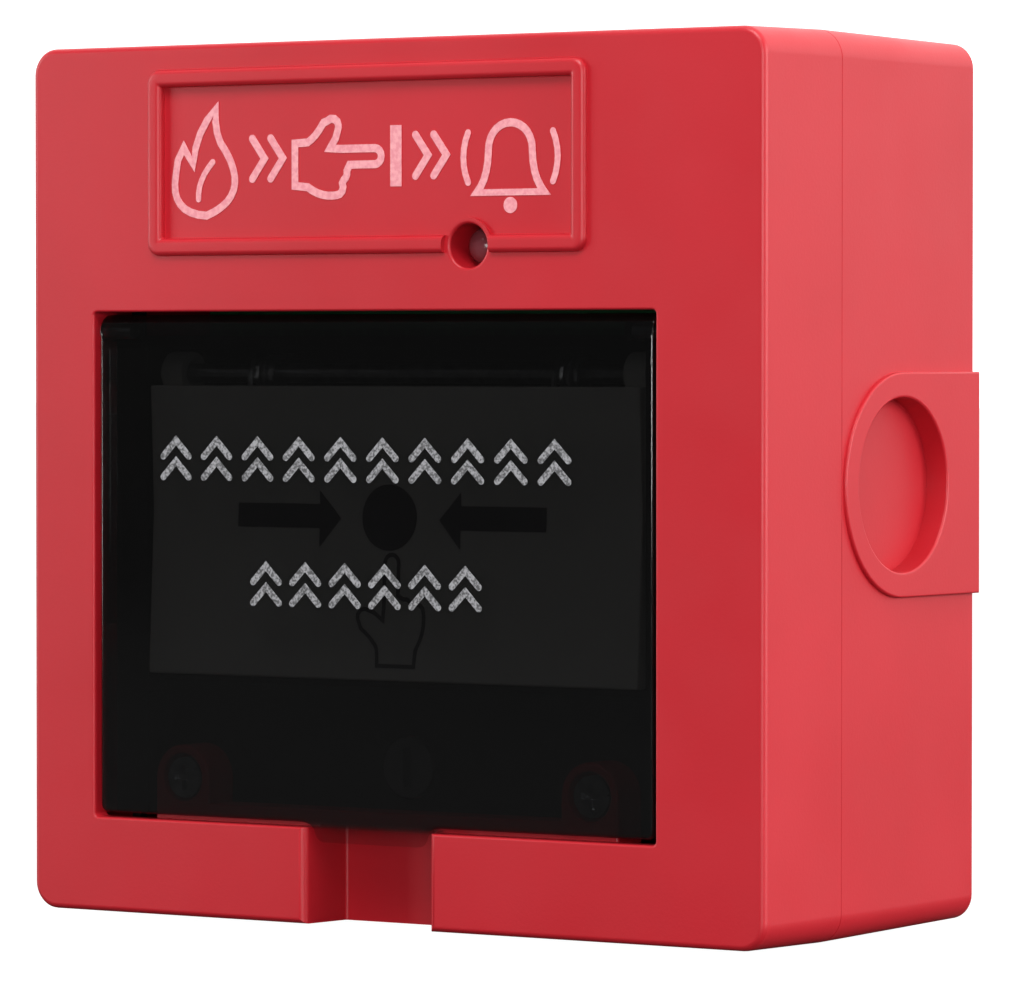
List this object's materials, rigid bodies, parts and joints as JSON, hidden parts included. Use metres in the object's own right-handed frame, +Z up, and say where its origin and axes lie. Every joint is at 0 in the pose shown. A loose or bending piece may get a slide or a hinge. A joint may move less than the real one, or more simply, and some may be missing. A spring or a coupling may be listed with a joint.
{
  "type": "manual call point",
  "caption": "Wall-mounted fire alarm call point: red housing, lift-up smoked flap over a sprung press plate, status lamp, reset lock, circuit board and conduit knockouts.",
  "frame": {"origin": "centre of the wall face, where the back box lies on the wall", "axes": "+X to the right and +Z up as seen from the front, +Y into the wall"},
  "size_m": [0.1064, 0.0487, 0.1064],
  "materials": {
    "red_housing": "fine satin texture",
    "red_button": "smooth",
    "smoked_flap": "smoked transparent plastic",
    "black_plastic": "fine satin texture",
    "white_plastic": "smooth satin",
    "grey_plastic": "satin",
    "green_plastic": "satin",
    "resistor_coat": "lacquered",
    "circuit_board": "solder resist",
    "lamp_plastic": "clear tinted",
    "black_rubber": "soft matte",
    "zinc_steel": "zinc plated",
    "brass": "machined"
  },
  "bodies": {
    "housing": {"back_box": "red_housing", "front_cover": "red_housing", "seal_gasket": "black_rubber", "cable_grommet": "black_rubber", "mechanism_tray": "black_plastic", "plate_pivot_rod": "zinc_steel", "flap_pin_left": "zinc_steel", "flap_pin_right": "zinc_steel", "cover_screw_left": "zinc_steel", "cover_screw_right": "zinc_steel", "screw_insert_left": "brass", "screw_insert_right": "brass", "trip_switch": "grey_plastic", "circuit_board": "circuit_board", "terminal_block": "green_plastic", "terminal_screw_1": "zinc_steel", "terminal_screw_2": "zinc_steel", "terminal_screw_3": "zinc_steel", "terminal_screw_4": "zinc_steel", "terminal_screw_5": "zinc_steel", "terminal_screw_6": "zinc_steel", "relay": "black_plastic", "capacitor": "grey_plastic", "resistor_1": "resistor_coat", "resistor_2": "resistor_coat", "status_lamp": "lamp_plastic", "lamp_spacer": "white_plastic", "tray_screw_1": "zinc_steel", "tray_screw_2": "zinc_steel", "tray_screw_3": "zinc_steel", "tray_screw_4": "zinc_steel", "board_screw_1": "zinc_steel", "board_screw_2": "zinc_steel", "board_screw_3": "zinc_steel", "board_screw_4": "zinc_steel"},
    "flap": {"flap": "smoked_flap"},
    "press_plate": {"press_plate": "white_plastic", "plate_spring_left": "zinc_steel", "plate_spring_right": "zinc_steel"},
    "trip_plunger": {"trip_plunger": "red_button"},
    "reset_lock": {"reset_barrel": "grey_plastic", "reset_cam": "grey_plastic"},
    "reset_latch": {"reset_latch": "grey_plastic"}
  },
  "joints": [
    {"name": "flap_lift", "type": "hinge", "parent": "housing", "child": "flap", "pos_m": [-0.0027, -0.0455, 0.018], "axis": [-1, 0, 0], "range_deg": [0, 95]},
    {"name": "plate_press", "type": "hinge", "parent": "housing", "child": "press_plate", "pos_m": [-0.0027, -0.039, 0.013], "axis": [1, 0, 0], "range_deg": [0, 5], "stiffness_Nm_per_rad": 0.4, "springref_deg": -17.19},
    {"name": "plunger_travel", "type": "slide", "parent": "housing", "child": "trip_plunger", "axis": [0, 1, 0], "range_m": [0, 0.0024]},
    {"name": "reset_turn", "type": "hinge", "parent": "housing", "child": "reset_lock", "pos_m": [-0.0027, -0.039, -0.034], "axis": [0, 1, 0], "range_deg": [0, 91]},
    {"name": "latch_pull", "type": "slide", "parent": "housing", "child": "reset_latch", "axis": [0, 0, -1], "range_m": [0, 0.002]}
  ],
  "couplings": [
    {"joint": "plunger_travel", "follows": "plate_press", "m_per_rad": 0.026},
    {"joint": "reset_turn", "follows": "latch_pull", "rad_per_m": 785.4}
  ]
}
